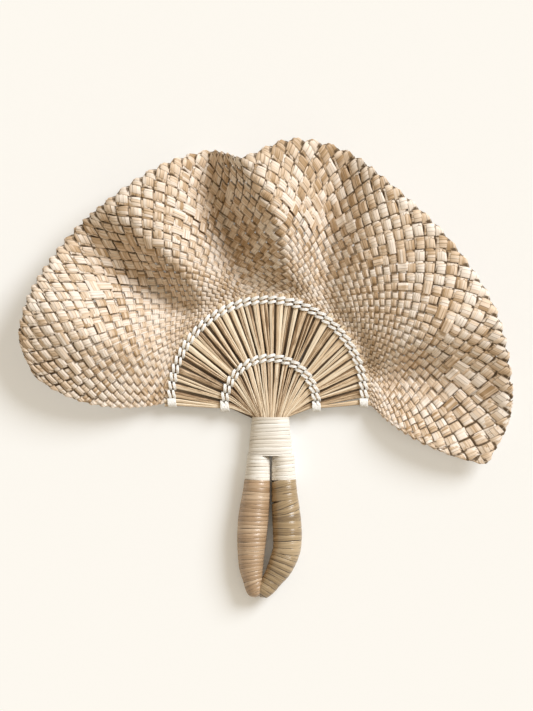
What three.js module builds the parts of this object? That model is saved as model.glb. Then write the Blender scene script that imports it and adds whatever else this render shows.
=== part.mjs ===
// Woven hand fan: a pleated blade of plaited straw, carried by a half circle of
// stalks that two twined bands hold, gathered at a bound neck into a looped handle.
// Millimetres, +Z up. The fan lies on its back with the handle toward -Y.

import * as THREE from "three";

// Clearances
const TOUCH_GAP = 0.3;
const TWINE_CLEARANCE = 0.35;

// Half circle of stalks
const STALK_COUNT = 38;
const FAN_SPREAD = 188;
const STALK_DEPTH = 3.2;
const STALK_GAP = 0.4;
const FAN_HEIGHT = 10.4;

// Twined bands, each of two rows of two cords
const TWINE_WIDTH = 1.2;
const TWINE_DEPTH = 1;
const ROW_PITCH = 3.4;
const INNER_BAND_RADIUS = 34.5;
const OUTER_BAND_RADIUS = 72.3;
const OUTER_BAND_X = -2;
const OUTER_BAND_Y = 6;
const BAND_REACH = 3.4;
const STITCH_SHOULDER = 0.45;

// Gathered butts of the stalks
const GATHER_Y = -8;
const GATHER_RADIUS = 12.5;
const GATHER_DEPTH = 6.5;
const GATHER_LEVELS = [0.35, 0.7, 0.92];

// Bound neck and leg collars
const NECK_TOP_Y = -9.8;
const NECK_BOTTOM_Y = -38.3;
const NECK_TOP_WIDTH = 27.6;
const NECK_BOTTOM_WIDTH = 33.2;
const NECK_TOP_DEPTH = 18.4;
const NECK_BOTTOM_DEPTH = 17;
const NECK_TURNS = 6;
const COLLAR_BOTTOM_Y = -57;
const COLLAR_TURNS = 4;

// Wrapping strips
const STRIP_DEPTH = 0.9;
const TURN_GAP = 0.7;
const WRAP_GAP = 0.6;
const LEFT_TURNS = 15;
const RIGHT_TURNS = 9;
const LOOP_END_TURNS = 5;
const RESTING_FLAT = 0.5;

// Looped handle below the neck
const HANDLE_LENGTH = 104;
const LEFT_GRIP_SHARE = 0.985;
const RIGHT_GRIP_SHARE = 0.67;
const LOOP_END_SHARE = 0.975;

// Pleated blade
const BLADE_HALF_WIDTH = 188.5;
const BLADE_REACH = 199;
const CREST_HEIGHT = 46;
const BLADE_DEPTH = 1.4;
const RIM_DEPTH = 2.3;
const HEM_DEPTH = 1.1;
const HEM_START_SHARE = 0.6;
const HEM_FULL_SHARE = 0.74;
const BLADE_EASE_SHARE = 0.15;
const PLAIT_RELIEF = 0.3;
const PLAIT_GROWTH = 1.6;
const BLADE_COLUMNS = 80;
const BLADE_ROWS = 14;

// Mesh steps
const STEPS_PER_TURN = 18;
const CORE_STEPS = 14;
const CORE_SIDES = 10;
const GATHER_SIDES = 16;

// Fold lines of the blade, from its left edge round to its right edge. Each runs from
// the outer band at an angle, over a point halfway out, to a point on the rim. Points are
// shares of the blade's half width, of its reach above the hub and of its crest height.
const FOLDS = [
  { angle: 184, half: [-0.695, -0.005, 0.435], rim: [-0.944, 0.106, 0.522] },
  { angle: 172, half: [-0.711, 0.121, 0.63], rim: [-1, 0.249, 0.609] },
  { angle: 159, half: [-0.679, 0.249, 0.783], rim: [-0.973, 0.392, 0.652] },
  { angle: 146, half: [-0.592, 0.377, 0.391], rim: [-0.894, 0.528, 0.565] },
  { angle: 133, half: [-0.488, 0.465, 0.05], rim: [-0.782, 0.661, 0.478] },
  { angle: 121, half: [-0.419, 0.58, 0.739], rim: [-0.65, 0.769, 0.717] },
  { angle: 111, half: [-0.297, 0.641, 0.478], rim: [-0.456, 0.894, 0.696] },
  { angle: 102, half: [-0.178, 0.671, 0.041], rim: [-0.249, 0.96, 0.304] },
  { angle: 92, half: [-0.082, 0.686, 0.5], rim: [-0.178, 0.947, 0.565] },
  { angle: 80, half: [0.029, 0.678, 1], rim: [-0.117, 0.93, 0.913] },
  { angle: 70, half: [0.138, 0.663, 0.609], rim: [0.077, 1, 0.826] },
  { angle: 60, half: [0.236, 0.641, 0.261], rim: [0.292, 0.962, 0.565] },
  { angle: 47, half: [0.371, 0.565, 0.609], rim: [0.459, 0.849, 0.717] },
  { angle: 32, half: [0.523, 0.43, 0.609], rim: [0.711, 0.626, 0.652] },
  { angle: 19, half: [0.61, 0.269, 0.696], rim: [0.897, 0.362, 0.609] },
  { angle: 8, half: [0.631, 0.111, 0.07], rim: [0.96, 0.121, 0.5] },
  { angle: 2, half: [0.631, -0.025, 0.196], rim: [0.955, -0.05, 0.413] },
  { angle: -4, half: [0.592, -0.143, 0.435], rim: [0.865, -0.234, 0.304] },
];

// Leg outlines from the neck down, as shares of the handle's length: the way across, the
// way down and the outside radius.
const LEFT_LEG = [
  [-0.0865, 0, 0.0788],
  [-0.1, 0.249, 0.0962],
  [-0.1212, 0.4365, 0.1077],
  [-0.1337, 0.5808, 0.1048],
  [-0.1394, 0.6962, 0.0962],
  [-0.1394, 0.8115, 0.0846],
  [-0.1269, 0.9077, 0.0673],
  [-0.1096, 0.999, 0.0404],
];
const RIGHT_LEG = [
  [0.0904, 0, 0.0788],
  [0.099, 0.249, 0.0904],
  [0.1144, 0.4365, 0.101],
  [0.1221, 0.5808, 0.1029],
  [0.1173, 0.6769, 0.099],
  [0.0865, 0.7683, 0.0933],
  [0.05, 0.8404, 0.0846],
  [0.0173, 0.8913, 0.0712],
  [-0.0173, 0.9423, 0.0519],
  [-0.0462, 0.9788, 0.0365],
];

const Z_AXIS = new THREE.Vector3(0, 0, 1);
const halfTurn = Math.PI;

function radians(degrees) {
  return degrees * halfTurn / 180;
}

// Closed solid from rings of points, each ring with as many points, capped at both ends.
function solidFromRings(rings) {
  const sides = rings[0].length;
  const positions = [];
  const indices = [];
  for (const ring of rings) {
    for (const point of ring) {
      positions.push(point.x, point.y, point.z);
    }
  }
  for (let r = 0; r + 1 < rings.length; r += 1) {
    for (let s = 0; s < sides; s += 1) {
      const a = r * sides + s;
      const b = r * sides + (s + 1) % sides;
      indices.push(a, b, a + sides, b, b + sides, a + sides);
    }
  }
  const last = (rings.length - 1) * sides;
  for (let s = 1; s + 1 < sides; s += 1) {
    indices.push(0, s + 1, s, last, last + s, last + s + 1);
  }
  return facingOut(positions, indices);
}

// Geometry whose triangles face out, whichever way its rings were drawn.
function facingOut(positions, indices) {
  let volume = 0;
  const at = (i) => new THREE.Vector3().fromArray(positions, 3 * i);
  for (let i = 0; i < indices.length; i += 3) {
    volume += at(indices[i]).dot(at(indices[i + 1]).cross(at(indices[i + 2])));
  }
  if (volume < 0) {
    for (let i = 0; i < indices.length; i += 3) {
      [indices[i], indices[i + 1]] = [indices[i + 1], indices[i]];
    }
  }
  const geometry = new THREE.BufferGeometry();
  geometry.setAttribute("position", new THREE.Float32BufferAttribute(positions, 3));
  geometry.setIndex(indices);
  geometry.computeVertexNormals();
  return geometry;
}

function pointOnCircle(centreX, centreY, radius, angle) {
  return new THREE.Vector3(
    centreX + radius * Math.cos(angle),
    centreY + radius * Math.sin(angle),
    FAN_HEIGHT
  );
}

// Stalks: angle of each, and the stations where its section changes.
const stalkStep = radians(FAN_SPREAD) / (STALK_COUNT - 1);
const passage = TWINE_DEPTH + 2 * TWINE_CLEARANCE;
const cordOffset = TWINE_WIDTH / 2 + TOUCH_GAP;
const rowReach = cordOffset + TWINE_WIDTH / 2;
const bladeStart = OUTER_BAND_RADIUS + ROW_PITCH / 2 + rowReach + TOUCH_GAP;
const innerRow = INNER_BAND_RADIUS - ROW_PITCH / 2;
const outerRow = OUTER_BAND_RADIUS - ROW_PITCH / 2;
const pairWidth = 2 * stalkStep * innerRow - passage;
const pairedWidth = (pairWidth - STALK_GAP) / 2;
const pairShift = (pairedWidth + STALK_GAP) / 2;
const spreadWidth = stalkStep * outerRow - passage;
const buttWidth = stalkStep * GATHER_RADIUS - TOUCH_GAP;

function stalkAngle(i) {
  return radians(90 - FAN_SPREAD / 2) + stalkStep * i;
}

// Place on the inner band of a stalk that is squeezed beside its partner.
function pairedPoint(i, radius) {
  const pairAngle = (stalkAngle(i - i % 2) + stalkAngle(i - i % 2 + 1)) / 2;
  const side = i % 2 === 0 ? -1 : 1;
  return pointOnCircle(0, 0, radius, pairAngle + side * pairShift / radius);
}

function stalkGeometry(i) {
  const angle = stalkAngle(i);
  const outward = (radius) => pointOnCircle(OUTER_BAND_X, OUTER_BAND_Y, radius, angle);
  const stations = [
    { at: pointOnCircle(0, GATHER_Y, GATHER_RADIUS + TOUCH_GAP, angle), width: buttWidth },
    { at: pairedPoint(i, INNER_BAND_RADIUS - BAND_REACH), width: pairedWidth },
    { at: pairedPoint(i, INNER_BAND_RADIUS + BAND_REACH), width: pairedWidth },
    { at: outward(OUTER_BAND_RADIUS - BAND_REACH), width: spreadWidth },
    { at: outward(bladeStart - TOUCH_GAP), width: spreadWidth },
  ];
  const rings = stations.map((station, k) => {
    const before = stations[Math.max(k - 1, 0)].at;
    const after = stations[Math.min(k + 1, stations.length - 1)].at;
    const along = after.clone().sub(before).normalize();
    const across = new THREE.Vector3().crossVectors(Z_AXIS, along);
    const half = station.width / 2;
    const corners = [[1, 0], [0.5, 1], [-0.5, 1], [-1, 0], [-0.5, -1], [0.5, -1]];
    return corners.map(([u, v]) => station.at.clone()
      .addScaledVector(across, u * half)
      .addScaledVector(Z_AXIS, v * STALK_DEPTH / 2));
  });
  return solidFromRings(rings);
}

// One cord of a twined row. It passes over a stitch and under the next, and it crosses
// its partner in each passage between stitches.
function twineGeometry(row, firstOver) {
  const over = STALK_DEPTH / 2 + TOUCH_GAP + TWINE_DEPTH / 2;
  const path = [];
  const place = (angle, lateral, shift, height) => {
    const turned = angle + lateral / row.radius;
    const point = pointOnCircle(row.x, row.y, row.radius + shift, turned);
    point.z += height;
    path.push({ point, radial: new THREE.Vector3(Math.cos(turned), Math.sin(turned), 0) });
  };
  const halfStitch = row.step / 2;
  for (let k = 0; k < row.stitches; k += 1) {
    const angle = row.start + row.step * k;
    const above = (k % 2 === 0) === firstOver;
    const shift = above ? cordOffset : -cordOffset;
    const height = above ? over : -over;
    const slant = row.shoulder / (halfStitch * row.radius);
    place(angle - halfStitch, 0, shift, 0);
    place(angle, -row.shoulder, shift * slant, height);
    place(angle, row.shoulder, -shift * slant, height);
    if (k === row.stitches - 1) {
      place(angle + halfStitch, 0, -shift, 0);
    }
  }
  const rings = path.map((spot, k) => {
    const before = path[Math.max(k - 1, 0)].point;
    const after = path[Math.min(k + 1, path.length - 1)].point;
    const along = after.clone().sub(before);
    along.addScaledVector(spot.radial, -along.dot(spot.radial)).normalize();
    const outward = new THREE.Vector3().crossVectors(along, spot.radial);
    return [[1, 1], [-1, 1], [-1, -1], [1, -1]].map(([u, v]) => spot.point.clone()
      .addScaledVector(spot.radial, u * TWINE_WIDTH / 2)
      .addScaledVector(outward, v * TWINE_DEPTH / 2));
  });
  return solidFromRings(rings);
}

function innerTwineRow(radius) {
  return {
    x: 0,
    y: 0,
    radius,
    stitches: STALK_COUNT / 2,
    step: 2 * stalkStep,
    start: (stalkAngle(0) + stalkAngle(1)) / 2,
    shoulder: pairShift + pairedWidth / 4 + STITCH_SHOULDER,
  };
}

function outerTwineRow(radius) {
  return {
    x: OUTER_BAND_X,
    y: OUTER_BAND_Y,
    radius,
    stitches: STALK_COUNT,
    step: stalkStep,
    start: stalkAngle(0),
    shoulder: spreadWidth / 4 + STITCH_SHOULDER,
  };
}

// Loft of oval sections square to Y: each has y, half width and half depth.
function ovalLoft(sections) {
  const rings = sections.map(([y, halfWidth, halfDepth]) => {
    const ring = [];
    for (let s = 0; s < GATHER_SIDES; s += 1) {
      const turn = 2 * halfTurn * s / GATHER_SIDES;
      ring.push(new THREE.Vector3(
        halfWidth * Math.cos(turn),
        y,
        FAN_HEIGHT + halfDepth * Math.sin(turn)
      ));
    }
    return ring;
  });
  return solidFromRings(rings);
}

function gatherGeometry() {
  const inset = STRIP_DEPTH + TOUCH_GAP;
  const headSection = (y) => {
    const rise = y - GATHER_Y;
    const halfWidth = Math.sqrt(GATHER_RADIUS ** 2 - rise ** 2);
    return [y, halfWidth, GATHER_DEPTH / 2];
  };
  const shoulderY = NECK_TOP_Y + 2 * TOUCH_GAP;
  const crownY = GATHER_Y + GATHER_RADIUS;
  return ovalLoft([
    [NECK_BOTTOM_Y + 2 * TOUCH_GAP, NECK_BOTTOM_WIDTH / 2 - inset, NECK_BOTTOM_DEPTH / 2 - inset],
    [NECK_TOP_Y, NECK_TOP_WIDTH / 2 - inset, NECK_TOP_DEPTH / 2 - inset],
    headSection(shoulderY),
    ...GATHER_LEVELS.map((level) => headSection(GATHER_Y + level * GATHER_RADIUS)),
    [crownY, GATHER_RADIUS / 12, GATHER_DEPTH / 4],
  ]);
}

// Leg outline in place: x, y and outside radius.
function placedLeg(shares) {
  return shares.map(([across, down, radius]) => [
    across * HANDLE_LENGTH,
    NECK_BOTTOM_Y - TOUCH_GAP - down * HANDLE_LENGTH,
    radius * HANDLE_LENGTH,
  ]);
}

// A leg's middle line carries its outside radius as the third coordinate.
function legLine(points) {
  return new THREE.CatmullRomCurve3(points.map(([x, y, radius]) => new THREE.Vector3(x, y, radius)));
}

function legFrame(line, share) {
  const spot = line.getPointAt(share);
  const along = line.getTangentAt(share);
  along.z = 0;
  along.normalize();
  return {
    centre: new THREE.Vector2(spot.x, spot.y),
    radius: spot.z,
    across: new THREE.Vector2(-along.y, along.x),
  };
}

function legHeight(points) {
  return Math.max(...points.map(([, , radius]) => radius)) - RESTING_FLAT;
}

function coreGeometry(points) {
  const line = legLine(points);
  const height = legHeight(points);
  const rings = [];
  for (let k = 0; k <= CORE_STEPS; k += 1) {
    const frame = legFrame(line, k / CORE_STEPS);
    const radius = frame.radius - STRIP_DEPTH - TOUCH_GAP;
    const ring = [];
    for (let s = 0; s < CORE_SIDES; s += 1) {
      const turn = 2 * halfTurn * s / CORE_SIDES;
      ring.push(new THREE.Vector3(
        frame.centre.x + frame.across.x * radius * Math.cos(turn),
        frame.centre.y + frame.across.y * radius * Math.cos(turn),
        height + radius * Math.sin(turn)
      ));
    }
    rings.push(ring);
  }
  return solidFromRings(rings);
}

// A strip wound as one unbroken helix. The section function gives the centre, the way
// across, the half width and half depth at a share of the way along the wound length.
function windingGeometry(name, sectionAt, length, turns) {
  const pitch = length / (turns + 1);
  const stripShare = (pitch - TURN_GAP) / length;
  const steps = turns * STEPS_PER_TURN;
  const rings = [];
  for (let k = 0; k <= steps; k += 1) {
    const turn = 2 * halfTurn * (k + 0.5) / STEPS_PER_TURN - halfTurn / 2;
    const middle = (0.5 + k / STEPS_PER_TURN) / (turns + 1);
    const edge = (share, inset) => {
      const section = sectionAt(share);
      const wide = (section.halfWidth - inset) * Math.cos(turn);
      const deep = (section.halfDepth - inset) * Math.sin(turn);
      return new THREE.Vector3(
        section.centre.x + section.across.x * wide,
        section.centre.y + section.across.y * wide,
        Math.max(section.height + deep, 0)
      );
    };
    const near = middle - stripShare / 2;
    const far = middle + stripShare / 2;
    rings.push([edge(near, STRIP_DEPTH), edge(far, STRIP_DEPTH), edge(far, 0), edge(near, 0)]);
  }
  printLeastGap(name, rings);
  return solidFromRings(rings);
}

// Least distance between points on the facing edges of neighbouring turns.
function printLeastGap(name, rings) {
  let least = Infinity;
  const edgePoints = (ring, a, b) => [0, 0.5, 1].map((share) => ring[a].clone().lerp(ring[b], share));
  for (let k = 0; k + STEPS_PER_TURN / 2 < rings.length; k += 1) {
    const farEdge = edgePoints(rings[k], 1, 2);
    for (let m = k + STEPS_PER_TURN / 2; m < rings.length; m += 1) {
      for (const p of edgePoints(rings[m], 0, 3)) {
        for (const q of farEdge) {
          least = Math.min(least, p.distanceTo(q));
        }
      }
    }
  }
  console.log(name + " least gap between turns " + least.toFixed(2) + " mm");
}

function neckWrapGeometry() {
  const sectionAt = (share) => {
    const y = THREE.MathUtils.lerp(NECK_TOP_Y, NECK_BOTTOM_Y, share);
    return {
      centre: new THREE.Vector2(0, y),
      across: new THREE.Vector2(1, 0),
      halfWidth: THREE.MathUtils.lerp(NECK_TOP_WIDTH, NECK_BOTTOM_WIDTH, share) / 2,
      halfDepth: THREE.MathUtils.lerp(NECK_TOP_DEPTH, NECK_BOTTOM_DEPTH, share) / 2,
      height: FAN_HEIGHT,
    };
  };
  return windingGeometry("neck_wrap", sectionAt, NECK_TOP_Y - NECK_BOTTOM_Y, NECK_TURNS);
}

function legWrapGeometry(name, points, start, end, turns) {
  const line = legLine(points);
  const height = legHeight(points);
  const sectionAt = (share) => {
    const frame = legFrame(line, THREE.MathUtils.lerp(start, end, share));
    return {
      centre: frame.centre,
      across: frame.across,
      halfWidth: frame.radius,
      halfDepth: frame.radius,
      height,
    };
  };
  return windingGeometry(name, sectionAt, (end - start) * line.getLength(), turns);
}

// Share of a leg's length at which it passes a given y.
function shareAtY(points, y) {
  const line = legLine(points);
  let low = 0;
  let high = 1;
  for (let k = 0; k < 40; k += 1) {
    const middle = (low + high) / 2;
    if (line.getPointAt(middle).y > y) {
      low = middle;
    } else {
      high = middle;
    }
  }
  return low;
}

// Middle surface of the blade: the share across runs from the left edge to the right
// edge, and the share out runs from the outer band to the rim.
const foldAngles = new THREE.CatmullRomCurve3(FOLDS.map((fold) => new THREE.Vector3(fold.angle, 0, 0)));
const foldHalves = new THREE.CatmullRomCurve3(FOLDS.map((fold) => foldPoint(fold.half)));
const foldRims = new THREE.CatmullRomCurve3(FOLDS.map((fold) => foldPoint(fold.rim)));

function foldPoint([across, up, rise]) {
  return new THREE.Vector3(across * BLADE_HALF_WIDTH, up * BLADE_REACH, rise * CREST_HEIGHT);
}

function bladePoint(across, out) {
  const angle = radians(foldAngles.getPoint(across).x);
  const start = pointOnCircle(OUTER_BAND_X, OUTER_BAND_Y, bladeStart, angle);
  const half = foldHalves.getPoint(across);
  const rim = foldRims.getPoint(across);
  const point = start.multiplyScalar(2 * (out - 0.5) * (out - 1));
  point.addScaledVector(half, 4 * out * (1 - out));
  point.addScaledVector(rim, 2 * out * (out - 0.5));
  const eased = THREE.MathUtils.smoothstep(out, 0, BLADE_EASE_SHARE);
  point.z = THREE.MathUtils.lerp(FAN_HEIGHT, point.z, eased);
  return point;
}

// Way through the blade's depth: upright at the band, square to the surface farther out.
function bladeNormal(across, out) {
  const step = 0.001;
  const onward = (share) => Math.min(share + step, 1);
  const back = (share) => Math.max(share - step, 0);
  const sideways = bladePoint(onward(across), out).sub(bladePoint(back(across), out));
  const outward = bladePoint(across, onward(out)).sub(bladePoint(across, back(out)));
  const normal = outward.cross(sideways).normalize();
  if (normal.z < 0) {
    normal.negate();
  }
  return Z_AXIS.clone().lerp(normal, THREE.MathUtils.smoothstep(out, 0, BLADE_EASE_SHARE)).normalize();
}

// Share across for a share of the columns, so that columns are about as wide as each other.
function columnShare(share) {
  return (foldHalves.getUtoTmapping(share) + foldRims.getUtoTmapping(share)) / 2;
}

// Share out for a share of the rows, which widen toward the rim.
function rowShare(share) {
  return (PLAIT_GROWTH ** share - 1) / (PLAIT_GROWTH - 1);
}

// Straw grows thicker toward the rim, where every strand is turned back over the sheet as a hem.
function bladeDepth(out) {
  const hem = THREE.MathUtils.smoothstep(out, HEM_START_SHARE, HEM_FULL_SHARE);
  return THREE.MathUtils.lerp(BLADE_DEPTH, RIM_DEPTH, out) + HEM_DEPTH * hem;
}

// The plait's crossings are diamonds on the grid: every other grid point is the crown of a
// crossing, and its four neighbours are the hollows between crossings.
function isCrown(c, r) {
  return (c + r) % 2 === 0;
}

function bladeGeometry() {
  const positions = [];
  const indices = [];
  const rowSize = BLADE_ROWS + 1;
  const layerSize = (BLADE_COLUMNS + 1) * rowSize;
  for (const side of [1, -1]) {
    for (let c = 0; c <= BLADE_COLUMNS; c += 1) {
      for (let r = 0; r <= BLADE_ROWS; r += 1) {
        const across = columnShare(c / BLADE_COLUMNS);
        const out = rowShare(r / BLADE_ROWS);
        const relief = THREE.MathUtils.lerp(PLAIT_RELIEF / 2, PLAIT_RELIEF, out);
        const depth = bladeDepth(out) / 2 + (isCrown(c, r) ? relief : -relief);
        const point = bladePoint(across, out);
        point.addScaledVector(bladeNormal(across, out), side * depth);
        positions.push(point.x, point.y, point.z);
      }
    }
  }
  const quad = (a, b, c, d) => indices.push(a, b, c, a, c, d);
  for (let c = 0; c < BLADE_COLUMNS; c += 1) {
    for (let r = 0; r < BLADE_ROWS; r += 1) {
      const a = c * rowSize + r;
      const b = a + rowSize;
      const under = [a + layerSize, b + layerSize, b + layerSize + 1, a + layerSize + 1];
      if (isCrown(c, r)) {
        quad(a + 1, b + 1, b, a);
        quad(under[1], under[2], under[3], under[0]);
      } else {
        quad(a, a + 1, b + 1, b);
        quad(...under);
      }
    }
    const inner = c * rowSize;
    const rim = inner + BLADE_ROWS;
    quad(inner, inner + rowSize, inner + rowSize + layerSize, inner + layerSize);
    quad(rim, rim + layerSize, rim + rowSize + layerSize, rim + rowSize);
  }
  const lastColumn = BLADE_COLUMNS * rowSize;
  for (let r = 0; r < BLADE_ROWS; r += 1) {
    quad(r, r + layerSize, r + 1 + layerSize, r + 1);
    const a = lastColumn + r;
    quad(a, a + 1, a + 1 + layerSize, a + layerSize);
  }
  return facingOut(positions, indices);
}

const colours = {
  straw: new THREE.MeshStandardMaterial({ color: 0xd8bd97, roughness: 0.6, metalness: 0 }),
  stalk: new THREE.MeshStandardMaterial({ color: 0xc2a074, roughness: 0.55, metalness: 0 }),
  twine: new THREE.MeshStandardMaterial({ color: 0xf0ebe0, roughness: 0.8, metalness: 0 }),
  cream: new THREE.MeshStandardMaterial({ color: 0xe9dfcd, roughness: 0.6, metalness: 0 }),
  tan: new THREE.MeshStandardMaterial({ color: 0xb8966f, roughness: 0.45, metalness: 0 }),
  olive: new THREE.MeshStandardMaterial({ color: 0xa88f66, roughness: 0.45, metalness: 0 }),
};

const fan = new THREE.Group();
fan.name = "woven_hand_fan";

function addPiece(name, geometry, material) {
  const mesh = new THREE.Mesh(geometry, material);
  mesh.name = name;
  fan.add(mesh);
}

addPiece("woven_blade", bladeGeometry(), colours.straw);
for (let i = 0; i < STALK_COUNT; i += 1) {
  const number = String(i + 1).padStart(2, "0");
  addPiece("stalk_" + number, stalkGeometry(i), colours.stalk);
}
[-1, 1].forEach((side, k) => {
  const inner = innerTwineRow(INNER_BAND_RADIUS + side * ROW_PITCH / 2);
  const outer = outerTwineRow(OUTER_BAND_RADIUS + side * ROW_PITCH / 2);
  const number = String(k + 1);
  addPiece("inner_twine_" + number + "a", twineGeometry(inner, true), colours.twine);
  addPiece("inner_twine_" + number + "b", twineGeometry(inner, false), colours.twine);
  addPiece("outer_twine_" + number + "a", twineGeometry(outer, true), colours.twine);
  addPiece("outer_twine_" + number + "b", twineGeometry(outer, false), colours.twine);
});
addPiece("gathered_butts", gatherGeometry(), colours.stalk);
const leftLeg = placedLeg(LEFT_LEG);
const rightLeg = placedLeg(RIGHT_LEG);
addPiece("left_core", coreGeometry(leftLeg), colours.stalk);
addPiece("right_core", coreGeometry(rightLeg), colours.stalk);
addPiece("neck_wrap", neckWrapGeometry(), colours.cream);

const leftCollar = shareAtY(leftLeg, COLLAR_BOTTOM_Y);
const rightCollar = shareAtY(rightLeg, COLLAR_BOTTOM_Y);
const leftSeam = WRAP_GAP / legLine(leftLeg).getLength();
const rightSeam = WRAP_GAP / legLine(rightLeg).getLength();

function addLegWrap(name, leg, start, end, turns, material) {
  addPiece(name, legWrapGeometry(name, leg, start, end, turns), material);
}

addLegWrap("left_collar_wrap", leftLeg, 0, leftCollar, COLLAR_TURNS, colours.cream);
addLegWrap("right_collar_wrap", rightLeg, 0, rightCollar, COLLAR_TURNS, colours.cream);
const leftGrip = leftCollar + leftSeam;
addLegWrap("left_grip_wrap", leftLeg, leftGrip, LEFT_GRIP_SHARE, LEFT_TURNS, colours.tan);
const rightGrip = rightCollar + rightSeam;
const loopEnd = RIGHT_GRIP_SHARE + rightSeam;
addLegWrap("right_grip_wrap", rightLeg, rightGrip, RIGHT_GRIP_SHARE, RIGHT_TURNS, colours.olive);
addLegWrap("loop_end_wrap", rightLeg, loopEnd, LOOP_END_SHARE, LOOP_END_TURNS, colours.olive);

// Origin at the middle of the fan's outline, on the surface that it lies on.
const extent = new THREE.Box3().setFromObject(fan);
const middle = extent.getCenter(new THREE.Vector3());
for (const mesh of fan.children) {
  mesh.geometry.translate(-middle.x, -middle.y, -extent.min.z);
}

export default fan;
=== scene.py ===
"""Looks of a woven hand fan: plaited blade, bundled stalks, twined bands and a wrapped handle."""

import math

import bpy
import numpy as np
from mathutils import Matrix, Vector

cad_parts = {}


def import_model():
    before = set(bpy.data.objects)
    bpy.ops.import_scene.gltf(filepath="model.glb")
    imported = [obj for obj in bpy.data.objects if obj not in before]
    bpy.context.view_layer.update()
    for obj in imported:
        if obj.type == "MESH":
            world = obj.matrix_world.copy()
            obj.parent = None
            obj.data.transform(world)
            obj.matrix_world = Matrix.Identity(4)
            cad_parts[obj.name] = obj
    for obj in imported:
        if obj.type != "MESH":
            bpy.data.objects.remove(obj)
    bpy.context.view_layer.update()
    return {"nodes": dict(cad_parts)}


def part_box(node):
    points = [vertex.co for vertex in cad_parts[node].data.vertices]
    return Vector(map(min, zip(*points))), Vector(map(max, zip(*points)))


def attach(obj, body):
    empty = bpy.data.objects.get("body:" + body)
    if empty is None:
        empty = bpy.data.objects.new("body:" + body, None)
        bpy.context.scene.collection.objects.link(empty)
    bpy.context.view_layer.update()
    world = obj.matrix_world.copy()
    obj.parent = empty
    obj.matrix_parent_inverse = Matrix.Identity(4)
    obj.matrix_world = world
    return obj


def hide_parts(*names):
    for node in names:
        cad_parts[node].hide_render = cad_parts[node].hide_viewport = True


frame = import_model()

bl_info = {
    "name": "Woven hand fan",
    "version": (1, 0, 0),
    "blender": (4, 5, 0),
    "location": "3D View > Sidebar > Fan",
    "description": "Plaits, twines and wraps the pieces of a woven hand fan",
    "category": "Add Mesh",
}

MM = 0.001

# Sizes shared with the part, in millimetres from the middle of the inner band.
FAN_HEIGHT = 10.4
FAN_SPREAD = 188
STALK_COUNT = 38
INNER_BAND_RADIUS = 34.5
OUTER_BAND_RADIUS = 72.3
OUTER_BAND_CENTRE = (-2, 6)
ROW_PITCH = 3.4
BLADE_START = 75.8
GATHER_TOP = 4.5
NECK_TOP_Y = -9.8
NECK_BOTTOM_Y = -38.3
LEG_TOP_Y = -38.6
COLLAR_BOTTOM_Y = -57
HANDLE_LENGTH = 104
BLADE_HALF_WIDTH = 188.5
BLADE_REACH = 199
CREST_HEIGHT = 46

# Fold lines of the blade from left to right: angle at the outer band, a point halfway
# out and a point on the rim, as shares of the half width, reach and crest height.
FOLDS = np.array([
    (184, -0.695, -0.005, 0.435, -0.944, 0.106, 0.522),
    (172, -0.711, 0.121, 0.63, -1, 0.249, 0.609),
    (159, -0.679, 0.249, 0.783, -0.973, 0.392, 0.652),
    (146, -0.592, 0.377, 0.391, -0.894, 0.528, 0.565),
    (133, -0.488, 0.465, 0.05, -0.782, 0.661, 0.478),
    (121, -0.419, 0.58, 0.739, -0.65, 0.769, 0.717),
    (111, -0.297, 0.641, 0.478, -0.456, 0.894, 0.696),
    (102, -0.178, 0.671, 0.041, -0.249, 0.96, 0.304),
    (92, -0.082, 0.686, 0.5, -0.178, 0.947, 0.565),
    (80, 0.029, 0.678, 1, -0.117, 0.93, 0.913),
    (70, 0.138, 0.663, 0.609, 0.077, 1, 0.826),
    (60, 0.236, 0.641, 0.261, 0.292, 0.962, 0.565),
    (47, 0.371, 0.565, 0.609, 0.459, 0.849, 0.717),
    (32, 0.523, 0.43, 0.609, 0.711, 0.626, 0.652),
    (19, 0.61, 0.269, 0.696, 0.897, 0.362, 0.609),
    (8, 0.631, 0.111, 0.07, 0.96, 0.121, 0.5),
    (2, 0.631, -0.025, 0.196, 0.955, -0.05, 0.413),
    (-4, 0.592, -0.143, 0.435, 0.865, -0.234, 0.304),
])

# Legs of the handle from the neck down, as shares of its length: across, down, radius.
LEFT_LEG = np.array([
    (-0.0865, 0, 0.0788),
    (-0.1, 0.249, 0.0962),
    (-0.1212, 0.4365, 0.1077),
    (-0.1337, 0.5808, 0.1048),
    (-0.1394, 0.6962, 0.0962),
    (-0.1394, 0.8115, 0.0846),
    (-0.1269, 0.9077, 0.0673),
    (-0.1096, 0.999, 0.0404),
])
RIGHT_LEG = np.array([
    (0.0904, 0, 0.0788),
    (0.099, 0.249, 0.0904),
    (0.1144, 0.4365, 0.101),
    (0.1221, 0.5808, 0.1029),
    (0.1173, 0.6769, 0.099),
    (0.0865, 0.7683, 0.0933),
    (0.05, 0.8404, 0.0846),
    (0.0173, 0.8913, 0.0712),
    (-0.0173, 0.9423, 0.0519),
    (-0.0462, 0.9788, 0.0365),
])

# Closed tips of the legs, in the same shares.
LEFT_TIP = np.array([
    (-0.117, 0.955, 0.0635),
    (-0.108, 0.995, 0.053),
    (-0.104, 1.013, 0.038),
    (-0.102, 1.024, 0.008),
])
RIGHT_TIP = np.array([
    (-0.015, 0.9365, 0.066),
    (-0.043, 0.968, 0.062),
    (-0.06, 0.988, 0.055),
    (-0.077, 1.004, 0.04),
    (-0.085, 1.01, 0.006),
])
LOOP_BEND_Y = -113.5

# Stalks gathered in the neck: half widths at the top, deep inside and of the butts.
GATHER_HALF_WIDTHS = (11.4, 10.4, 10)
GATHER_HALF_DEPTH = 6.4
GATHER_ROUNDNESS = 0.92
PAIR_HALF_GAP = 1.05

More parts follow.
